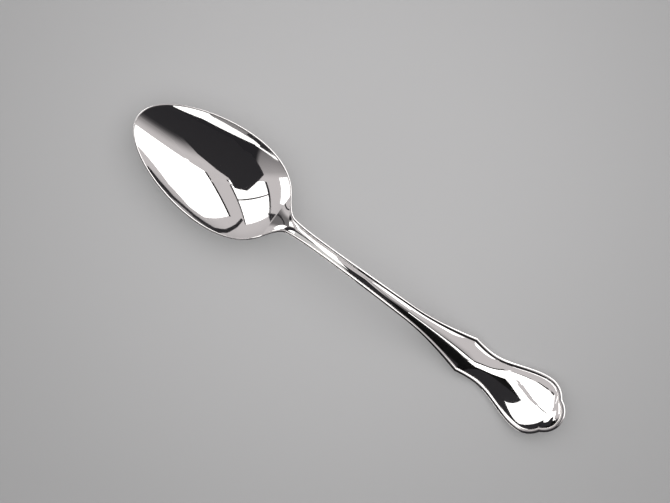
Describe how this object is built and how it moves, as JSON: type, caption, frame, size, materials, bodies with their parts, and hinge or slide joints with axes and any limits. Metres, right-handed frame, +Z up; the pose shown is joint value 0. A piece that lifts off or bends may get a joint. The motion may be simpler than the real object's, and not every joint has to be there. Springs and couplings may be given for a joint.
{
  "type": "table spoon",
  "caption": "Polished silver table spoon with an egg-shaped bowl, slender arched stem and a shaped handle with a raised thread border and lobed end.",
  "frame": {"origin": "middle of the spoon's length and width, at the level of the table it lies on", "axes": "+X along the spoon from the bowl to the end of the handle, +Y across it, +Z up out of the bowl"},
  "size_m": [0.205, 0.0412, 0.0159],
  "materials": {
    "polished_silver": "mirror polished"
  },
  "bodies": {
    "root": {"bowl": "polished_silver", "heel": "polished_silver", "neck": "polished_silver", "stem": "polished_silver", "handle": "polished_silver", "left_thread": "polished_silver", "right_thread": "polished_silver"}
  },
  "joints": []
}
